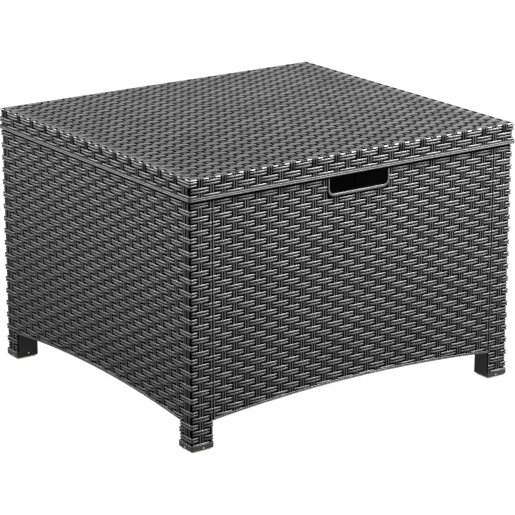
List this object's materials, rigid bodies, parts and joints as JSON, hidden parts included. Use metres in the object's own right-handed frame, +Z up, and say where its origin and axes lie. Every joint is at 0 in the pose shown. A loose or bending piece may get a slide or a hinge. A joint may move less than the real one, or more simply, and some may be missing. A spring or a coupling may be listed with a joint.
{
  "type": "propane tank cover table",
  "caption": "Low resin-wicker patio table that hides a gas cylinder: open-bottomed woven body on short legs, arched walls, a hand slot in front and a lid hinged at the back.",
  "frame": {"origin": "on the floor under the middle of the table, which is the middle of the lid rim's outline", "axes": "+Z up, +X to the right seen from the front (the wall with the hand slot), +Y to the back (the hinged edge)"},
  "size_m": [0.733, 0.663, 0.507],
  "materials": {
    "woven_resin": "satin",
    "plain_resin": "satin",
    "pale_nylon": "satin",
    "bumper_rubber": "matte",
    "zinc_steel": "satin",
    "black_coated_steel": "satin"
  },
  "bodies": {
    "body": {"foot_glide_front_left": "pale_nylon", "foot_glide_front_right": "pale_nylon", "foot_glide_rear_left": "pale_nylon", "foot_glide_rear_right": "pale_nylon", "front_panel": "woven_resin", "hinge_body_leaf_left": "black_coated_steel", "hinge_body_leaf_right": "black_coated_steel", "hinge_body_screws": "zinc_steel", "hinge_pin_left": "zinc_steel", "hinge_pin_right": "zinc_steel", "left_side_panel": "woven_resin", "lid_bumper_front_left": "bumper_rubber", "lid_bumper_front_right": "bumper_rubber", "lid_bumper_rear_left": "bumper_rubber", "lid_bumper_rear_right": "bumper_rubber", "lower_bracket_front_left": "zinc_steel", "lower_bracket_front_right": "zinc_steel", "lower_bracket_rear_left": "zinc_steel", "lower_bracket_rear_right": "zinc_steel", "lower_bracket_screws": "zinc_steel", "rear_panel": "woven_resin", "right_side_panel": "woven_resin", "upper_bracket_front_left": "zinc_steel", "upper_bracket_front_right": "zinc_steel", "upper_bracket_rear_left": "zinc_steel", "upper_bracket_rear_right": "zinc_steel", "upper_bracket_screws": "zinc_steel"},
    "lid": {"hinge_lid_leaf_left": "black_coated_steel", "hinge_lid_leaf_right": "black_coated_steel", "hinge_lid_screws": "zinc_steel", "lid_frame_screws": "zinc_steel", "lid_ribbed_frame": "plain_resin", "lid_top_panel": "woven_resin"}
  },
  "joints": [
    {"name": "lid_hinge", "type": "hinge", "parent": "body", "child": "lid", "pos_m": [0, 0.3279, 0.462], "axis": [-1, 0, 0], "range_deg": [0, 105]}
  ]
}
